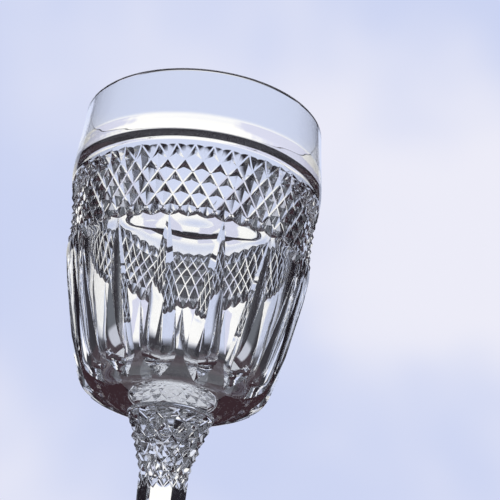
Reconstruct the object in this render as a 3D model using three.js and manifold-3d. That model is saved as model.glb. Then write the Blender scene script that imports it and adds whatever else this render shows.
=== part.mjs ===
// A stemmed wine glass in cut crystal: bowl, collar, stem and foot, joined hot.
// Millimetres, +Z up, origin at the middle of the face that the foot rests on.
// Angles are turns about +Z from the -Y axis, towards +X.
import * as THREE from 'three';
import { mergeVertices } from 'three/addons/utils/BufferGeometryUtils.js';
import Module from 'manifold-3d';

// Driving dimensions
const HEIGHT = 175;
const RIM_RADIUS = 35;
const RIM_WALL = 1.4;
const BOWL_BASE = 86.3;
const BOWL_BASE_RADIUS = 11.7;
const COLLAR_BASE = 85;
const COLLAR_RADIUS = 11.95;
const KNOP_BASE = 66.85;
const STEM_BASE = 8.5;
const FOOT_RADIUS = 34;
const FOOT_EDGE = 2.4;

// Diamond band round the bowl: two hands of V grooves that cross at evenly spaced rows
const DIAMONDS = 45;
const BAND_TOP = 150.7;
const ROW_STEP = 3.45;
const ROW_STEPS = 6;
const BAND_BASE = BAND_TOP - ROW_STEPS * ROW_STEP;
const DIAMOND_DEPTH = 1.6;
const DIAMOND_HALF_ANGLE = 53;

// Mitre flutes below the band, each rising to a point on every third diamond
const FLUTES = 15;
const FLUTE_HALF_ANGLE = 57.5;

// Panels between the flutes: the share of the roundness that is taken away, and where
const PANEL_FLATNESS = 0.38;
const PANEL_TOP = 129.5;
const PANEL_BASE = 93;
const PANEL_BLEND = 2.5;

// Diamonds on the knop, two to each flat of the six-sided stem
const KNOP_DIAMONDS = 12;
const KNOP_HALF_ANGLE = 52;
const STEM_SIDES = 6;
const STEM_TURN = 4;

// Star cut into the underside of the foot
const STAR_RAYS = 16;
const STAR_START = 4;
const STAR_RADIUS = 27;
const STAR_DEPTH = 1;
const STAR_HALF_ANGLE = 60;

// Smoothness of the round surfaces, in segments
const BOWL_SEGMENTS = 2 * DIAMONDS;
const KNOP_SEGMENTS = 2 * KNOP_DIAMONDS;
const CAVITY_SEGMENTS = 48;
const ROUND_SEGMENTS = 48;

// A cutter stands this far out of the surface, and lifts this far clear past its ends
const CUTTER_RISE = 1.2;
const RUN_OUT = 0.5;

const FULL_TURN = 360;

const wasm = await Module();
wasm.setup();

// Half of the outside of the bowl, from the rim down to the collar, as [height, radius]
const BOWL_OUTSIDE = [
  [HEIGHT, RIM_RADIUS],
  [167, 35.5],
  [160, 36.0],
  [154.5, 36.4],
  [BAND_TOP, 36.0],
  [BAND_TOP - ROW_STEP, 35.5],
  [BAND_TOP - 3 * ROW_STEP, 35.0],
  [BAND_TOP - 5 * ROW_STEP, 34.8],
  [BAND_BASE, 34.65],
  [127, 34.3],
  [122.5, 33.6],
  [115.5, 32.1],
  [108.5, 30.6],
  [101.5, 28.9],
  [96, 27.3],
  [93.2, 25.9],
  [91, 23.3],
  [88.5, 18],
  [BOWL_BASE, BOWL_BASE_RADIUS],
];

// Inside of the bowl, from the rim down to the axis
const BOWL_INSIDE = [
  [HEIGHT, RIM_RADIUS - RIM_WALL],
  [167, 34.1],
  [163, 34.4],
  [161, 34.4],
  [158.3, 34.1],
  [156, 33.55],
  [154.3, 31.85],
  [147, 31.5],
  [140, 31],
  [130, 30],
  [120, 28.4],
  [111, 26.4],
  [103, 24.4],
  [98.2, 22.2],
  [95.2, 18.9],
  [93.6, 14],
  [92.7, 0],
];

// A groove of the band, as [rows down from its top, depth]: it runs out to nothing at its ends
const BAND_GROOVE = [
  [-0.5, -RUN_OUT],
  [0, 0],
  [1, DIAMOND_DEPTH],
  [2, DIAMOND_DEPTH],
  [3, DIAMOND_DEPTH],
  [4, DIAMOND_DEPTH],
  [5, DIAMOND_DEPTH],
  [ROW_STEPS, 0],
  [ROW_STEPS + 0.5, -RUN_OUT],
];

// Valley of a flute, as [height, depth below the outside]
const FLUTE_VALLEY = [
  [BAND_BASE + 1, -RUN_OUT],
  [BAND_BASE, 0],
  [124.2, 1.3],
  [117.2, 2.2],
  [110, 2.8],
  [103, 3.2],
  [96.5, 3.2],
  [93, 2.5],
  [90, 0.9],
  [88, -RUN_OUT],
];

// Rows of the knop, as [height, radius, groove depth]; the rows close up as the knop narrows
const KNOP_ROWS = [
  [84.6, 11.5, 0.7],
  [82.1, 10.75, 1.35],
  [78.9, 9.75, 1.3],
  [76.2, 8.85, 1.15],
  [73.6, 8.0, 1.05],
  [71.2, 7.2, 0.95],
  [69, 6.5, 0.6],
  [KNOP_BASE, 5.8, 0],
];

// Corners of the six-sided stem, as [height, radius], from the knop down to the foot
const STEM_CORNERS = [
  [69.6, 5.5],
  [69.5, 6.7],
  [62, 6.5],
  [48, 5.7],
  [34, 5.3],
  [22, 5.6],
  [15, 6.6],
  [11, 8.2],
  [STEM_BASE, 10.2],
];

const FOOT_TOP = [
  [STEM_BASE, 10.2],
  [6.6, 15],
  [4.6, 22],
  [3.2, 29],
  [FOOT_EDGE, 33],
  [FOOT_EDGE / 2, FOOT_RADIUS],
  [0, 33],
];

function heightsAsPoints(stations) {
  return stations.map(([height, radius]) => new THREE.Vector2(radius, height));
}

function radiusAt(stations, height) {
  const after = stations.findIndex(([stationHeight]) => stationHeight <= height);
  const last = stations.length - 1;
  const index = THREE.MathUtils.clamp(after < 0 ? last : after, 1, last);
  const [upper, upperRadius] = stations[index - 1];
  const [lower, lowerRadius] = stations[index];
  return THREE.MathUtils.mapLinear(height, upper, lower, upperRadius, lowerRadius);
}

// A closed triangle mesh as a solid that can be joined and cut
function solidOf(geometry) {
  const bare = geometry.clone();
  bare.deleteAttribute('normal');
  bare.deleteAttribute('uv');
  const merged = mergeVertices(bare, 1e-4);
  const corners = merged.index.array;
  const kept = [];
  for (let i = 0; i < corners.length; i += 3) {
    const [a, b, c] = corners.slice(i, i + 3);
    if (a !== b && b !== c && c !== a) kept.push(a, b, c);
  }
  return new wasm.Manifold(new wasm.Mesh({
    numProp: 3,
    vertProperties: merged.attributes.position.array,
    triVerts: new Uint32Array(kept),
  }));
}

function geometryOf(solid) {
  const mesh = solid.getMesh();
  const geometry = new THREE.BufferGeometry();
  geometry.setAttribute('position', new THREE.BufferAttribute(mesh.vertProperties, 3));
  geometry.setIndex(new THREE.BufferAttribute(mesh.triVerts, 1));
  geometry.computeVertexNormals();
  return geometry;
}

// A body turned about +Z from points that start and end on the axis, highest first. A shape
// gives the share of the radius at a height and an angle.
function turned(points, segments, turn = 0, shape = null) {
  const geometry = new THREE.LatheGeometry(points.reverse(), segments);
  geometry.rotateX(Math.PI / 2);
  geometry.rotateZ(THREE.MathUtils.degToRad(turn));
  const corners = geometry.attributes.position;
  for (let i = 0; shape && i < corners.count; i += 1) {
    const share = shape(corners.getZ(i), Math.atan2(corners.getX(i), -corners.getY(i)));
    corners.setXY(i, corners.getX(i) * share, corners.getY(i) * share);
  }
  return solidOf(geometry);
}

function onAxis(height) {
  return new THREE.Vector2(0, height);
}

// The point at a turn and a radius, and the directions out and around there
function placeAt(turn, radius, height) {
  const angle = THREE.MathUtils.degToRad(turn);
  const outward = new THREE.Vector3(Math.sin(angle), -Math.cos(angle), 0);
  const point = outward.clone().multiplyScalar(radius).setZ(height);
  return { point, outward };
}

// A V-shaped cutter along a path on the surface. Each stop has a point on the surface, the
// direction out of it and the depth of the cut there.
function grooveCutter(stops, halfAngle, rise) {
  const spread = Math.tan(THREE.MathUtils.degToRad(halfAngle));
  const positions = [];
  stops.forEach(({ point, outward, depth }, i) => {
    const before = stops[Math.max(i - 1, 0)].point;
    const after = stops[Math.min(i + 1, stops.length - 1)].point;
    const along = after.clone().sub(before).normalize();
    const across = along.cross(outward).normalize().multiplyScalar((depth + rise) * spread);
    const bottom = point.clone().addScaledVector(outward, -depth);
    const top = point.clone().addScaledVector(outward, rise);
    positions.push(...bottom, ...top.clone().add(across), ...top.clone().sub(across));
  });
  const index = [0, 1, 2];
  for (let i = 0; i < stops.length - 1; i += 1) {
    for (let side = 0; side < 3; side += 1) {
      const a = 3 * i + side;
      const b = 3 * i + ((side + 1) % 3);
      index.push(a, b + 3, b, a, a + 3, b + 3);
    }
  }
  const end = 3 * (stops.length - 1);
  index.push(end, end + 2, end + 1);
  const geometry = new THREE.BufferGeometry();
  geometry.setAttribute('position', new THREE.Float32BufferAttribute(positions, 3));
  geometry.setIndex(index);
  return solidOf(geometry);
}

function cutAll(blank, cutters) {
  return cutters.reduce((solid, cutter) => solid.subtract(cutter), blank);
}

// One groove of the diamond band, which starts at a turn and climbs round the bowl by hand
function bandGroove(start, hand) {
  const halfPitch = FULL_TURN / DIAMONDS / 2;
  const stops = BAND_GROOVE.map(([step, depth]) => {
    const height = BAND_TOP - step * ROW_STEP;
    const turn = start + hand * step * halfPitch;
    return { ...placeAt(turn, radiusAt(BOWL_OUTSIDE, height), height), depth };
  });
  return grooveCutter(stops, DIAMOND_HALF_ANGLE, CUTTER_RISE);
}

function flute(turn) {
  const stops = FLUTE_VALLEY.map(([height, depth]) => ({
    ...placeAt(turn, radiusAt(BOWL_OUTSIDE, height), height),
    depth,
  }));
  return grooveCutter(stops, FLUTE_HALF_ANGLE, CUTTER_RISE);
}

// Share of the outside radius where the panels between the flutes are flattened
function panelShare(height, angle) {
  const fromEnd = Math.min(PANEL_TOP - height, height - PANEL_BASE);
  const blend = THREE.MathUtils.clamp(fromEnd / PANEL_BLEND, 0, 1);
  const halfPanel = Math.PI / FLUTES;
  const fromMiddle = THREE.MathUtils.euclideanModulo(angle, 2 * halfPanel) - halfPanel;
  return 1 - PANEL_FLATNESS * blend * (halfPanel ** 2 - fromMiddle ** 2) / 2;
}

function makeBowl() {
  const outline = [onAxis(HEIGHT), ...heightsAsPoints(BOWL_OUTSIDE), onAxis(BOWL_BASE)];
  const outside = turned(outline, BOWL_SEGMENTS, 0, panelShare);
  const above = HEIGHT + 5;
  const inside = [onAxis(above), new THREE.Vector2(RIM_RADIUS - RIM_WALL, above)];
  const cavity = turned([...inside, ...heightsAsPoints(BOWL_INSIDE)], CAVITY_SEGMENTS);
  const cutters = [];
  for (let i = 0; i < DIAMONDS; i += 1) {
    const start = (i * FULL_TURN) / DIAMONDS;
    cutters.push(bandGroove(start, 1), bandGroove(start, -1));
  }
  for (let i = 0; i < FLUTES; i += 1) cutters.push(flute((i * FULL_TURN) / FLUTES));
  return geometryOf(cutAll(outside.subtract(cavity), cutters));
}

function makeCollar() {
  const middle = (BOWL_BASE + COLLAR_BASE) / 2;
  const outline = [
    onAxis(BOWL_BASE),
    new THREE.Vector2(BOWL_BASE_RADIUS, BOWL_BASE),
    new THREE.Vector2(COLLAR_RADIUS, middle),
    new THREE.Vector2(KNOP_ROWS[0][1], COLLAR_BASE),
    onAxis(COLLAR_BASE),
  ];
  return geometryOf(turned(outline, ROUND_SEGMENTS));
}

function knopGroove(start, hand) {
  const halfPitch = FULL_TURN / KNOP_DIAMONDS / 2;
  const stops = KNOP_ROWS.map(([height, radius, depth], row) => ({
    ...placeAt(start + hand * row * halfPitch, radius, height),
    depth,
  }));
  const first = KNOP_ROWS[0];
  const lead = placeAt(start - hand * halfPitch / 2, first[1] + 0.6, first[0] + 1.6);
  return grooveCutter([{ ...lead, depth: -RUN_OUT }, ...stops], KNOP_HALF_ANGLE, CUTTER_RISE);
}

function makeStem() {
  const cone = KNOP_ROWS.map(([height, radius]) => new THREE.Vector2(radius, height));
  cone[0] = new THREE.Vector2(KNOP_ROWS[0][1], COLLAR_BASE);
  const knop = turned([onAxis(COLLAR_BASE), ...cone, onAxis(KNOP_BASE)], KNOP_SEGMENTS, STEM_TURN);
  const corners = heightsAsPoints(STEM_CORNERS);
  const halfSide = FULL_TURN / STEM_SIDES / 2;
  const shaft = turned(
    [onAxis(STEM_CORNERS[0][0]), ...corners, onAxis(STEM_BASE)],
    STEM_SIDES,
    STEM_TURN + halfSide,
  );
  const cutters = [];
  const pitch = FULL_TURN / KNOP_DIAMONDS;
  for (let i = 0; i < KNOP_DIAMONDS; i += 1) {
    const start = STEM_TURN + (i + 0.5) * pitch;
    cutters.push(knopGroove(start, 1), knopGroove(start, -1));
  }
  return geometryOf(cutAll(knop.add(shaft), cutters));
}

// One ray of the star, deepest a little inside its outer end
function starRay(turn) {
  const deepest = 0.8 * STAR_RADIUS;
  const stations = [[STAR_START, 0.2], [deepest, STAR_DEPTH], [STAR_RADIUS, 0], [STAR_RADIUS + 1, -RUN_OUT]];
  const down = new THREE.Vector3(0, 0, -1);
  const stops = stations.map(([radius, depth]) => ({
    point: placeAt(turn, radius, 0).point,
    outward: down,
    depth,
  }));
  return grooveCutter(stops, STAR_HALF_ANGLE, CUTTER_RISE);
}

function makeFoot() {
  const blank = turned([onAxis(STEM_BASE), ...heightsAsPoints(FOOT_TOP), onAxis(0)], ROUND_SEGMENTS);
  const rays = [];
  for (let i = 0; i < STAR_RAYS; i += 1) rays.push(starRay((i * FULL_TURN) / STAR_RAYS));
  return geometryOf(cutAll(blank, rays));
}

function crystal(colour) {
  return new THREE.MeshStandardMaterial({
    color: colour,
    roughness: 0.03,
    metalness: 0,
    transparent: true,
    opacity: 0.35,
  });
}

function part(name, geometry, colour) {
  const mesh = new THREE.Mesh(geometry, crystal(colour));
  mesh.name = name;
  return mesh;
}

const glass = new THREE.Group();
glass.add(part('bowl', makeBowl(), 0xf2f4f8));
glass.add(part('collar', makeCollar(), 0xeef1f6));
glass.add(part('stem', makeStem(), 0xf0f3f7));
glass.add(part('foot', makeFoot(), 0xf0f3f7));

export default glass;
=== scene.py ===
"""A stemmed wine glass in cut crystal, seen from below against a pale sky-blue backdrop."""
import math

import bpy
from mathutils import Matrix, Vector


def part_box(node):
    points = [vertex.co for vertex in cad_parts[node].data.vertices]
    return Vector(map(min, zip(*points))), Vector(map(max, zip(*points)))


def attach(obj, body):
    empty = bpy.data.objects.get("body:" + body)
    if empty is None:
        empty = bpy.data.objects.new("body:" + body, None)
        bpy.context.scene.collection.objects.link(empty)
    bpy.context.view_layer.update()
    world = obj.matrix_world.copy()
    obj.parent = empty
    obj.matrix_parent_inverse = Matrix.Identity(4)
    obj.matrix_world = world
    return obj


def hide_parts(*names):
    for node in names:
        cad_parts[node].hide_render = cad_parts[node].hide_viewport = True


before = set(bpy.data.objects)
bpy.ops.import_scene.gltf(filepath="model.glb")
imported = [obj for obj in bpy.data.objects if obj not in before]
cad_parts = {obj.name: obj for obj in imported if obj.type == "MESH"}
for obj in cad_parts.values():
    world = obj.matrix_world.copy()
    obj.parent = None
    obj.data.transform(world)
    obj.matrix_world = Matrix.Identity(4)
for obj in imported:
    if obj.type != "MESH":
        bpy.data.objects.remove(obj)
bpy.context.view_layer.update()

# Lengths are in millimetres until a mesh is made. Angles are turns in degrees about +Z from -Y.
MM = 0.001
FULL_TURN = 360

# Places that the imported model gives
RIM_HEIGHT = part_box("bowl")[1].z / MM
BOWL_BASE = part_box("collar")[1].z / MM
COLLAR_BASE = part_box("collar")[0].z / MM
COLLAR_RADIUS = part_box("collar")[1].y / MM
STEM_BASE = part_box("stem")[0].z / MM
FOOT_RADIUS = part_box("foot")[1].y / MM

# Diamond band: grooves in two hands that cross at evenly spaced rows
DIAMONDS = 45
BAND_TOP = 150.7
ROW_STEP = 3.45
ROW_STEPS = 6
BAND_BASE = BAND_TOP - ROW_STEPS * ROW_STEP
DIAMOND_DEPTH = 1.55
DIAMOND_HALF_ANGLE = 52
GROOVE_FLAT = 0.46

# Mitre flutes below the band. At its full height a flute fills this share of the way to its
# neighbours, and above that it narrows to a point.
FLUTES = 15
FLUTE_BASE = 89.5
FLUTE_HALF_ANGLE = 57.5
FLUTE_FLAT = 0.2
FLUTE_FILL = 0.84
FLUTE_GROWTH = 0.85
FLUTE_FULL_HEIGHT = 95
# Past its full depth a flute lifts out: by this much, over this share of its length, on this curve
FLUTE_LIFT = 3.2
FLUTE_LIFT_SHARE = 0.15
FLUTE_LIFT_CURVE = 1.5

# Flattened panels between the flutes: the share of the roundness that is taken away
PANEL_FLATNESS = 0.38
PANEL_TOP = 129.5
PANEL_BASE = 93
PANEL_BLEND = 2.5

# Knop and six-sided stem
KNOP_DIAMONDS = 12
KNOP_HALF_ANGLE = 52
KNOP_FLAT = 0.3
STEM_SIDES = 6
STEM_TURN = 4

# Star under the foot
STAR_RAYS = 16
STAR_HALF_ANGLE = 60
STAR_FLAT = 0.2

# A cutter stands this far out of the surface, and lifts this far clear past its ends
CUTTER_RISE = 0.6
RUN_OUT = 0.35

# Grooves are cut in groups, because the cutters that are made together mustn't touch each other
BAND_GROUPS = 3
KNOP_GROUPS = 2

# Fineness
ROUND_SEGMENTS = 360
FLOOR_SEGMENTS = 96
CURVE_STEPS = 9
LIP_STEPS = 3
COLLAR_STEPS = 4
KNOP_STEPS = 4
STEM_STEPS = 6
FOOT_STEPS = 8
STOPS_PER_ROW = 3
FLUTE_STOPS = 48
CREASE_ANGLE = 16

# A face counts as part of a joint when it is this level and this close to the joint's height
LEVEL_ENOUGH = 0.999
CLOSE_ENOUGH = 0.01

# Crystal: a faint tint, and the dullness and ripple that polishing leaves
CRYSTAL_IOR = 1.545
CRYSTAL_TINT = (0.985, 0.99, 1)
TINT_SCALE = 40
POLISHED_DULLNESS = 0.012
CUT_DULLNESS = 0.035
DULLNESS_SCALE = 260
RIPPLE_STRENGTH = 0.15
RIPPLE_HEIGHT = 0.1
RIPPLE_SCALE = 160

# Camera: how far out, how high, how it turns, and its lens
VIEW_TURN = 10.87
CAMERA_OUT = 362.6
CAMERA_HEIGHT = -25.2
CAMERA_TILT = 24.2
CAMERA_PAN = 2.7
CAMERA_ROLL = 5.6
LENS = 99.6
CLIP_START = 10

# How often light may go through the glass, and bounce off it
CLEAR_BOUNCES = 40
GLOSSY_BOUNCES = 24

# Floor, small enough that the camera looks up past its edge, and the lamp that is there for it
FLOOR_RADIUS = 95
FLOOR_THICKNESS = 2
FLOOR_COLOUR = (0.8, 0.82, 0.86)
FLOOR_ROUGHNESS = 0.7
LAMP_HEIGHT = 700
LAMP_SIZE = 60
LAMP_CONE = 24
LAMP_BLEND = 0.7
LAMP_POWER = 12

# Backdrop that the camera sees: soft clouds
SKY = (0.6, 0.66, 0.89)
CLOUD = (0.84, 0.84, 0.94)
CLOUD_SCALE = 3.4
CLOUD_DETAIL = 3
CLOUD_EDGE = 0.52
CLOUD_SOFTNESS = 0.14

# What the glass sees: cards of light in the dark, the later ones in front of the earlier ones.
# A card is (left, right, low edge, high edge, softness, colour). Left and right are degrees from
# straight behind the glass, low and high are degrees above the horizon.
DARK = (0.012, 0.009, 0.013)
NIGHT_BELOW = (0.04, 0.022, 0.028)
GREY_ABOVE = (0.08, 0.08, 0.09)
DIM_WALL = (0.12, 0.13, 0.15)
PALE_WALL = (0.54, 0.56, 0.64)
BLUE_WINDOW = (0.68, 0.74, 0.94)
CREAM_WINDOW = (1.12, 1.11, 1.08)
WINDOW_BAR = (0.77, 0.78, 0.94)
LIGHT_CARDS = [
    (-190, 190, -100, -4, 2, NIGHT_BELOW),
    (-190, 190, 66, 100, 6, GREY_ABOVE),
    (-190, -75, -2, 52, 6, DIM_WALL),
    (75, 190, -2, 52, 6, DIM_WALL),
    (-190, -75, -30, 0, 3, PALE_WALL),
    (75, 190, -30, 0, 3, PALE_WALL),
    (-37, 32, 14, 52, 3, BLUE_WINDOW),
    (-34, 11, 14, 26, 2, CREAM_WINDOW),
    (-6, -2.6, 10, 25, 0.3, WINDOW_BAR),
    (1.2, 4.6, 10, 25, 0.3, WINDOW_BAR),
]

# Outlines, as (radius, height). The bowl's run up the outside, over the lip and down the inside.
BOWL_OUTSIDE = [
    (11.7, BOWL_BASE), (17.5, 88.2), (21.8, 89.9), (24.4, 91.5), (26.1, 93.6), (27.4, 96.5),
    (28.9, 101.5), (30.6, 108.5), (32.1, 115.5), (33.6, 122.5), (34.65, 130), (34.9, 137),
    (35.3, 144), (36, 150.7), (36.35, 154.5), (36.1, 160), (35.5, 167), (35, 174.6),
]
LIP = [(35, 174.6), (34.85, 174.9), (34.5, RIM_HEIGHT), (34, 174.85), (33.75, 174.4)]
BOWL_SHOULDER = [
    (33.75, 174.4), (34.15, 167), (34.4, 163), (34.5, 161), (34.45, 159.5), (34.35, 158),
    (34.15, 156.9), (33.9, 156), (33.5, 155.3), (33.05, 154.7), (32.65, 154.2), (32.42, 153.7),
]
BOWL_INSIDE = [
    (32.32, 153), (32.25, 151.8), (32.1, 149.8), (31.8, 146), (31.1, 140), (30, 130), (28.4, 120),
    (26.4, 111), (24.4, 103), (22.2, 98.2), (18.9, 95.2), (14, 93.6), (7, 92.9), (0, 92.7),
]
COLLAR_EDGE = [
    (COLLAR_RADIUS - 0.45, COLLAR_BASE), (COLLAR_RADIUS - 0.15, COLLAR_BASE + 0.25),
    (COLLAR_RADIUS, (BOWL_BASE + COLLAR_BASE) / 2), (COLLAR_RADIUS - 0.05, BOWL_BASE - 0.2),
    (COLLAR_RADIUS - 0.25, BOWL_BASE),
]
# Rows of the knop, as (height, radius, groove depth), and where its cutters start above the knop
KNOP_ROWS = [
    (84.6, 11.5, 0.7), (82.1, 10.75, 1.35), (78.9, 9.75, 1.3), (76.2, 8.85, 1.15),
    (73.6, 8, 1.05), (71.2, 7.2, 0.95), (69, 6.5, 0.6), (66.85, 5.8, 0),
]
KNOP_LEAD = (12.1, 86.2)
# Corners of the six-sided shaft, and its end inside the knop
STEM_CORNERS = [
    (10.2, STEM_BASE), (8.2, 11), (6.6, 15), (5.6, 22), (5.3, 34), (5.7, 48), (6.5, 62), (6.7, 69.5),
]
SHAFT_END = (5.5, 69.6)
# Foot, from the edge of its underside up to the stem
FOOT_TOP = [(33, 0), (FOOT_RADIUS, 1.2), (33, 2.4), (29, 3.2), (22, 4.6), (15, 6.6), (10.2, STEM_BASE)]
# Stops along a ray of the star, as (radius, depth)
STAR_STOPS = [(4, 0.2), (21.6, 1), (27, 0), (28, -RUN_OUT)]


# ---------------------------------------------------------------- shapes

def smooth(points, steps=CURVE_STEPS):
    """A smooth curve through the points, as a denser list (Catmull-Rom)."""
    points = [Vector(p) for p in points]
    ends = [2 * points[0] - points[1]] + points + [2 * points[-1] - points[-2]]
    curve = []
    for before, start, end, after in zip(ends, ends[1:], ends[2:], ends[3:]):
        for i in range(steps):
            t = i / steps
            curve.append(0.5 * (
                2 * start + (end - before) * t
                + (2 * before - 5 * start + 4 * end - after) * t ** 2
                + (3 * start - before - 3 * end + after) * t ** 3
            ))
    return curve + [points[-1]]


def radius_at(outline, height):
    """Radius of a rising outline at a height."""
    for low, high in zip(outline, outline[1:]):
        if low[1] <= height <= high[1]:
            share = (height - low[1]) / (high[1] - low[1])
            return low[0] + (high[0] - low[0]) * share
    return outline[0][0] if height < outline[0][1] else outline[-1][0]


def outward_at(turn):
    """The level direction out from the axis at a turn."""
    angle = math.radians(turn)
    return Vector((math.sin(angle), -math.cos(angle), 0))


def make_object(name, vertices, faces):
    """An object from vertices in millimetres."""
    mesh = bpy.data.meshes.new(name)
    mesh.from_pydata([v * MM for v in vertices], [], faces)
    mesh.validate()
    made = bpy.data.objects.new(name, mesh)
    bpy.context.scene.collection.objects.link(made)
    return made


def turned(name, outline, segments=ROUND_SEGMENTS, turn=0, shape=None):
    """A closed body turned about +Z. The outline starts and ends on the axis, lowest point first.

    A shape gives the share of the radius for a ring's number, its height and a turn."""
    rings = [Vector(p) for p in outline[1:-1]]
    vertices = []
    for number, ring in enumerate(rings):
        for i in range(segments):
            angle = turn + FULL_TURN * i / segments
            share = shape(number, ring[1], angle) if shape else 1
            vertices.append(outward_at(angle) * ring[0] * share + Vector((0, 0, ring[1])))
    first = len(vertices)
    vertices += [Vector((0, 0, outline[0][1])), Vector((0, 0, outline[-1][1]))]
    faces = []
    for i in range(segments):
        j = (i + 1) % segments
        faces.append((first, j, i))
        for row in range(len(rings) - 1):
            a = row * segments
            b = a + segments
            faces.append((a + i, a + j, b + j, b + i))
        last = (len(rings) - 1) * segments
        faces.append((first + 1, last + i, last + j))
    return make_object(name, vertices, faces)


def groove_section(stops, index, half_angle, flat):
    """The four corners of a groove cutter at one stop."""
    point, outward, depth = stops[index]
    before = stops[max(index - 1, 0)][0]
    after = stops[min(index + 1, len(stops) - 1)][0]
    across = (after - before).cross(outward).normalized()
    bottom = point - outward * depth
    top = point + outward * CUTTER_RISE
    half_flat = flat / 2
    half_top = half_flat + (depth + CUTTER_RISE) * math.tan(math.radians(half_angle))
    return [bottom - across * half_flat, bottom + across * half_flat,
            top + across * half_top, top - across * half_top]


def cutter(name, grooves, half_angle, flat):
    """Cutters for several grooves that don't touch each other, as one object.

    A groove is a list of stops: (point on the surface, outward direction, depth)."""
    vertices = []
    faces = []
    for stops in grooves:
        first = len(vertices)
        for index in range(len(stops)):
            vertices += groove_section(stops, index, half_angle, flat)
        faces.append(tuple(first + k for k in (0, 1, 2, 3)))
        for index in range(len(stops) - 1):
            a = first + 4 * index
            for k in range(4):
                n = (k + 1) % 4
                faces.append((a + k, a + k + 4, a + n + 4, a + n))
        end = first + 4 * (len(stops) - 1)
        faces.append(tuple(end + k for k in (3, 2, 1, 0)))
    return make_object(name, vertices, faces)


def apply_boolean(body, tool, operation="DIFFERENCE"):
    """Cut or join, keep the result on the body and delete the tool."""
    modifier = body.modifiers.new(operation.lower(), "BOOLEAN")
    modifier.operation = operation
    modifier.solver = "MANIFOLD"
    modifier.object = tool
    graph = bpy.context.evaluated_depsgraph_get()
    result = bpy.data.meshes.new_from_object(body.evaluated_get(graph))
    body.modifiers.clear()
    body.data = result
    bpy.data.objects.remove(tool)


def shade(body):
    """Smooth round surfaces, with creases between the cut faces."""
    body.data.shade_smooth()
    body.data.set_sharp_from_angle(angle=math.radians(CREASE_ANGLE))


# ---------------------------------------------------------------- bowl

def share_of_depth(step):
    """Share of a groove's full depth at a number of rows from its end. Past the end it is negative."""
    if step < 0:
        return 2 * step
    return 1 - (1 - min(step, 1)) ** 2


def band_groove(outline, start, hand):
    """A groove down the diamond band, which turns half a diamond at each row."""
    half_pitch = FULL_TURN / DIAMONDS / 2
    stops = []
    count = ROW_STEPS * STOPS_PER_ROW
    for i in range(-1, count + 2):
        step = i / STOPS_PER_ROW
        height = BAND_TOP - step * ROW_STEP
        out = outward_at(start + hand * step * half_pitch)
        point = out * radius_at(outline, height) + Vector((0, 0, height))
        from_end = min(step, ROW_STEPS - step)
        depth = DIAMOND_DEPTH * share_of_depth(from_end)
        stops.append((point, out, max(depth, -RUN_OUT)))
    return stops


def flute(outline, turn):
    """A V cut that starts as a point under the band, widens downwards and runs out at the heel."""
    out = outward_at(turn)
    stops = []
    for i in range(-1, FLUTE_STOPS + 1):
        height = BAND_BASE + (FLUTE_BASE - BAND_BASE) * i / FLUTE_STOPS
        radius = radius_at(outline, height)
        share = (BAND_BASE - height) / (BAND_BASE - FLUTE_FULL_HEIGHT)
        pitch = 2 * math.pi * radius / FLUTES
        half_width = FLUTE_FILL * pitch / 2 * max(share, 0) ** FLUTE_GROWTH
        fall_of_surface = half_width ** 2 / (2 * radius)
        depth = half_width / math.tan(math.radians(FLUTE_HALF_ANGLE)) + fall_of_surface
        if share > 1:
            depth -= FLUTE_LIFT * ((share - 1) / FLUTE_LIFT_SHARE) ** FLUTE_LIFT_CURVE
        if i < 0:
            depth = -RUN_OUT
        stops.append((out * radius + Vector((0, 0, height)), out, depth))
    return stops


def panel_share(height, turn):
    """Share of the outside radius where the panels between the flutes are flattened."""
    blend = min((PANEL_TOP - height) / PANEL_BLEND, (height - PANEL_BASE) / PANEL_BLEND, 1)
    if blend <= 0:
        return 1
    half_panel = math.pi / FLUTES
    from_middle = math.radians(turn) % (2 * half_panel) - half_panel
    return 1 - PANEL_FLATNESS * blend * (half_panel ** 2 - from_middle ** 2) / 2


def make_bowl():
    """The bowl, turned first and then cut."""
    outside = smooth(BOWL_OUTSIDE)
    lip = smooth(LIP, LIP_STEPS)
    shoulder = smooth(BOWL_SHOULDER)
    inside = smooth(BOWL_INSIDE)
    outline = [(0, BOWL_BASE)] + outside + lip[1:-1] + shoulder + inside

    def panelled(number, height, turn):
        return panel_share(height, turn) if number < len(outside) else 1

    bowl = turned("bowl_glass", outline, shape=panelled)
    for hand in (1, -1):
        for group in range(BAND_GROUPS):
            starts = [FULL_TURN * i / DIAMONDS for i in range(group, DIAMONDS, BAND_GROUPS)]
            grooves = [band_groove(outside, start, hand) for start in starts]
            apply_boolean(bowl, cutter("band_cutter", grooves, DIAMOND_HALF_ANGLE, GROOVE_FLAT))
    flutes = [flute(outside, FULL_TURN * i / FLUTES) for i in range(FLUTES)]
    apply_boolean(bowl, cutter("flute_cutter", flutes, FLUTE_HALF_ANGLE, FLUTE_FLAT))
    shade(bowl)
    return bowl


# ---------------------------------------------------------------- collar, stem and foot

def make_collar():
    edge = smooth(COLLAR_EDGE, COLLAR_STEPS)
    collar = turned("collar_glass", [(0, COLLAR_BASE)] + edge + [(0, BOWL_BASE)])
    shade(collar)
    return collar


def knop_groove(start, hand):
    """A groove down the knop, which turns half a diamond at each row."""
    half_pitch = FULL_TURN / KNOP_DIAMONDS / 2
    lead_out = outward_at(start - hand * half_pitch / 2)
    lead_radius, lead_height = KNOP_LEAD
    stops = [(lead_out * lead_radius + Vector((0, 0, lead_height)), lead_out, -RUN_OUT)]
    for row, (height, radius, depth) in enumerate(KNOP_ROWS):
        out = outward_at(start + hand * row * half_pitch)
        stops.append((out * radius + Vector((0, 0, height)), out, depth))
    return stops


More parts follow.
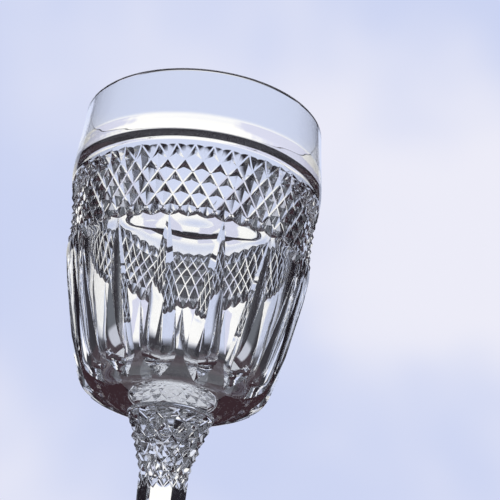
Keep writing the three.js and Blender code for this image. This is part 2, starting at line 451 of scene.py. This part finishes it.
def make_stem():
    """The knop is cut after the shaft has joined it, so that the grooves run out into the shaft."""
    cone = [(radius, height) for height, radius, _ in reversed(KNOP_ROWS)]
    top = [(cone[-1][0], COLLAR_BASE), (0, COLLAR_BASE)]
    outline = [(0, cone[0][1])] + smooth(cone, KNOP_STEPS) + top
    stem = turned("stem_glass", outline, turn=STEM_TURN)
    corners = smooth(STEM_CORNERS, STEM_STEPS)
    shaft_outline = [(0, STEM_BASE)] + corners + [SHAFT_END, (0, SHAFT_END[1])]
    half_side = FULL_TURN / STEM_SIDES / 2
    shaft = turned("shaft", shaft_outline, STEM_SIDES, STEM_TURN + half_side)
    apply_boolean(stem, shaft, "UNION")
    pitch = FULL_TURN / KNOP_DIAMONDS
    for hand in (1, -1):
        for group in range(KNOP_GROUPS):
            numbers = range(group, KNOP_DIAMONDS, KNOP_GROUPS)
            starts = [STEM_TURN + (i + 0.5) * pitch for i in numbers]
            grooves = [knop_groove(start, hand) for start in starts]
            apply_boolean(stem, cutter("knop_cutter", grooves, KNOP_HALF_ANGLE, KNOP_FLAT))
    shade(stem)
    return stem


def star_ray(turn):
    """A groove from near the middle of the foot towards its edge, cut from below."""
    out = outward_at(turn)
    down = Vector((0, 0, -1))
    return [(out * radius, down, depth) for radius, depth in STAR_STOPS]


def make_foot():
    foot = turned("foot_glass", [(0, 0)] + smooth(FOOT_TOP, FOOT_STEPS) + [(0, STEM_BASE)])
    rays = [star_ray(FULL_TURN * i / STAR_RAYS) for i in range(STAR_RAYS)]
    apply_boolean(foot, cutter("star_cutter", rays, STAR_HALF_ANGLE, STAR_FLAT))
    shade(foot)
    return foot


# ---------------------------------------------------------------- materials

class Shades:
    """Makes the few kinds of node that the materials and the studio light are built from."""

    def __init__(self, tree):
        self.nodes = tree.nodes
        self.links = tree.links

    def math(self, operation, first, second=None):
        """A Math node. The second value is another node's output or a number."""
        node = self.nodes.new("ShaderNodeMath")
        node.operation = operation
        self.links.new(first, node.inputs[0])
        if isinstance(second, (int, float)):
            node.inputs[1].default_value = second
        elif second:
            self.links.new(second, node.inputs[1])
        return node.outputs["Value"]

    def noise(self, place, scale, detail=2):
        """Noise from about 0 to 1 at a place."""
        node = self.nodes.new("ShaderNodeTexNoise")
        node.inputs["Scale"].default_value = scale
        node.inputs["Detail"].default_value = detail
        self.links.new(place, node.inputs["Vector"])
        return node.outputs["Fac"]

    def spread(self, value, low, high):
        """Spread a value from 0 to 1 between two numbers."""
        node = self.nodes.new("ShaderNodeMapRange")
        node.inputs["To Min"].default_value = low
        node.inputs["To Max"].default_value = high
        self.links.new(value, node.inputs["Value"])
        return node.outputs["Result"]

    def degrees(self, radians):
        return self.math("MULTIPLY", radians, math.degrees(1))

    def step(self, value, start, end):
        """A soft step from 0 at the start to 1 at the end."""
        node = self.nodes.new("ShaderNodeMapRange")
        node.interpolation_type = "SMOOTHSTEP"
        node.inputs["From Min"].default_value = start
        node.inputs["From Max"].default_value = end
        self.links.new(value, node.inputs["Value"])
        return node.outputs["Result"]

    def step_up(self, value, edge, soft):
        return self.step(value, edge - soft, edge + soft)

    def step_down(self, value, edge, soft):
        return self.step(value, edge + soft, edge - soft)

    def mix(self, share, under, over):
        """Lay one colour over another by a share. Each is a colour or a node's output."""
        node = self.nodes.new("ShaderNodeMix")
        node.data_type = "RGBA"
        self.links.new(share, node.inputs["Factor"])
        for name, colour in (("A", under), ("B", over)):
            if isinstance(colour, tuple):
                node.inputs[name].default_value = (*colour, 1)
            else:
                self.links.new(colour, node.inputs[name])
        return node.outputs["Result"]


def crystal_material(name, dullness):
    """Polished lead crystal: clear, with a faint unevenness from the polishing."""
    material = bpy.data.materials.new(name)
    material.use_nodes = True
    shades = Shades(material.node_tree)
    place = shades.nodes.new("ShaderNodeTexCoord").outputs["Object"]
    tint = shades.mix(shades.noise(place, TINT_SCALE), (1, 1, 1), CRYSTAL_TINT)
    roughness = shades.spread(shades.noise(place, DULLNESS_SCALE), dullness / 2, dullness)
    bump = shades.nodes.new("ShaderNodeBump")
    bump.inputs["Strength"].default_value = RIPPLE_STRENGTH
    bump.inputs["Distance"].default_value = RIPPLE_HEIGHT * MM
    shades.links.new(shades.noise(place, RIPPLE_SCALE), bump.inputs["Height"])
    surface = shades.nodes["Principled BSDF"]
    surface.inputs["Transmission Weight"].default_value = 1
    surface.inputs["IOR"].default_value = CRYSTAL_IOR
    shades.links.new(tint, surface.inputs["Base Color"])
    shades.links.new(roughness, surface.inputs["Roughness"])
    shades.links.new(bump.outputs["Normal"], surface.inputs["Normal"])
    return material


def joint_material():
    """Where two pieces are joined hot there is no surface for light to meet."""
    material = bpy.data.materials.new("joint")
    material.use_nodes = True
    nodes = material.node_tree.nodes
    nodes.clear()
    clear = nodes.new("ShaderNodeBsdfTransparent")
    output = nodes.new("ShaderNodeOutputMaterial")
    material.node_tree.links.new(clear.outputs["BSDF"], output.inputs["Surface"])
    return material


def dress(piece, material, joint, joint_heights):
    """Give a piece its crystal, and the joint material to the flat faces at its joints."""
    piece.data.materials.clear()
    piece.data.materials.append(material)
    piece.data.materials.append(joint)
    for face in piece.data.polygons:
        level = abs(face.normal.z) > LEVEL_ENOUGH
        height = face.center.z / MM
        at_joint = any(abs(height - joint_height) < CLOSE_ENOUGH for joint_height in joint_heights)
        face.material_index = 1 if level and at_joint else 0


# ---------------------------------------------------------------- stage, light and camera

def make_floor():
    below = -FLOOR_THICKNESS
    outline = [(0, below), (FLOOR_RADIUS, below), (FLOOR_RADIUS, 0), (0, 0)]
    floor = turned("floor", outline, FLOOR_SEGMENTS)
    material = bpy.data.materials.new("floor_paper")
    material.use_nodes = True
    surface = material.node_tree.nodes["Principled BSDF"]
    surface.inputs["Base Color"].default_value = (*FLOOR_COLOUR, 1)
    surface.inputs["Roughness"].default_value = FLOOR_ROUGHNESS
    floor.data.materials.append(material)


def make_floor_lamp():
    """A lamp overhead for the floor. Its own disc doesn't show in the crystal."""
    light = bpy.data.lights.new("floor_lamp", "SPOT")
    light.shadow_soft_size = LAMP_SIZE / 2 * MM
    light.spot_size = math.radians(LAMP_CONE)
    light.spot_blend = LAMP_BLEND
    light.energy = LAMP_POWER
    lamp = bpy.data.objects.new("floor_lamp", light)
    lamp.location.z = LAMP_HEIGHT * MM
    lamp.visible_glossy = False
    lamp.visible_transmission = False
    bpy.context.scene.collection.objects.link(lamp)


def make_world():
    """A pale backdrop for the camera. The glass sees cards of light in the dark."""
    world = bpy.data.worlds.new("studio")
    bpy.context.scene.world = world
    world.use_nodes = True
    shades = Shades(world.node_tree)
    nodes = shades.nodes
    links = shades.links
    direction = nodes.new("ShaderNodeTexCoord").outputs["Generated"]
    turn = nodes.new("ShaderNodeVectorRotate")
    turn.rotation_type = "Z_AXIS"
    turn.inputs["Angle"].default_value = -math.radians(VIEW_TURN)
    links.new(direction, turn.inputs["Vector"])
    parts = nodes.new("ShaderNodeSeparateXYZ")
    links.new(turn.outputs["Vector"], parts.inputs["Vector"])
    across = shades.degrees(shades.math("ARCTAN2", parts.outputs["X"], parts.outputs["Y"]))
    above = shades.degrees(shades.math("ARCSINE", parts.outputs["Z"]))
    light = DARK
    for left, right, low, high, soft, colour in LIGHT_CARDS:
        inside = shades.math("MULTIPLY", shades.step_up(across, left, soft),
                             shades.step_down(across, right, soft))
        inside = shades.math("MULTIPLY", inside, shades.step_up(above, low, soft))
        inside = shades.math("MULTIPLY", inside, shades.step_down(above, high, soft))
        light = shades.mix(inside, light, colour)
    clouds = shades.noise(direction, CLOUD_SCALE, CLOUD_DETAIL)
    sky = shades.mix(shades.step_up(clouds, CLOUD_EDGE, CLOUD_SOFTNESS), SKY, CLOUD)
    seen = nodes.new("ShaderNodeLightPath").outputs["Is Camera Ray"]
    links.new(shades.mix(seen, light, sky), nodes["Background"].inputs["Color"])


def make_camera():
    """A camera in front of the glass and a little below its foot, which looks up at the bowl."""
    camera = bpy.data.objects.new("camera", bpy.data.cameras.new("camera"))
    bpy.context.scene.collection.objects.link(camera)
    camera.data.lens = LENS
    camera.data.clip_start = CLIP_START * MM
    tilt = math.radians(CAMERA_TILT)
    pan = math.radians(CAMERA_PAN)
    roll = math.radians(CAMERA_ROLL)
    forward = Vector((math.sin(pan) * math.cos(tilt), math.cos(pan) * math.cos(tilt), math.sin(tilt)))
    level = Vector((math.cos(pan), -math.sin(pan), 0))
    upright = level.cross(forward)
    right = math.cos(roll) * level + math.sin(roll) * upright
    up = right.cross(forward)
    axes = Matrix((right, up, -forward)).transposed().to_4x4()
    place = Matrix.Translation(Vector((0, -CAMERA_OUT, CAMERA_HEIGHT)) * MM)
    camera.matrix_world = Matrix.Rotation(math.radians(VIEW_TURN), 4, "Z") @ place @ axes
    bpy.context.scene.camera = camera


def set_light_paths():
    """Clear glass needs long light paths, or it turns dark inside."""
    scene = bpy.context.scene
    scene.view_settings.view_transform = "Standard"
    scene.cycles.max_bounces = CLEAR_BOUNCES
    scene.cycles.transmission_bounces = CLEAR_BOUNCES
    scene.cycles.glossy_bounces = GLOSSY_BOUNCES
    scene.cycles.transparent_max_bounces = GLOSSY_BOUNCES
    scene.cycles.caustics_refractive = True


make_camera()
make_world()
make_floor()
make_floor_lamp()
set_light_paths()
joint = joint_material()
crystal = crystal_material("crystal", POLISHED_DULLNESS)
cut_crystal = crystal_material("cut_crystal", CUT_DULLNESS)
pieces = {
    "bowl": (make_bowl(), [BOWL_BASE]),
    "collar": (make_collar(), [BOWL_BASE, COLLAR_BASE]),
    "stem": (make_stem(), [COLLAR_BASE, STEM_BASE]),
    "foot": (make_foot(), [STEM_BASE]),
}
for node, (piece, joint_heights) in pieces.items():
    dress(piece, cut_crystal if node == "stem" else crystal, joint, joint_heights)
    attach(piece, "root")
    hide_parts(node)
    # The renderer would make the shadow of clear glass nearly black, so the glass casts none.
    piece.visible_shadow = False
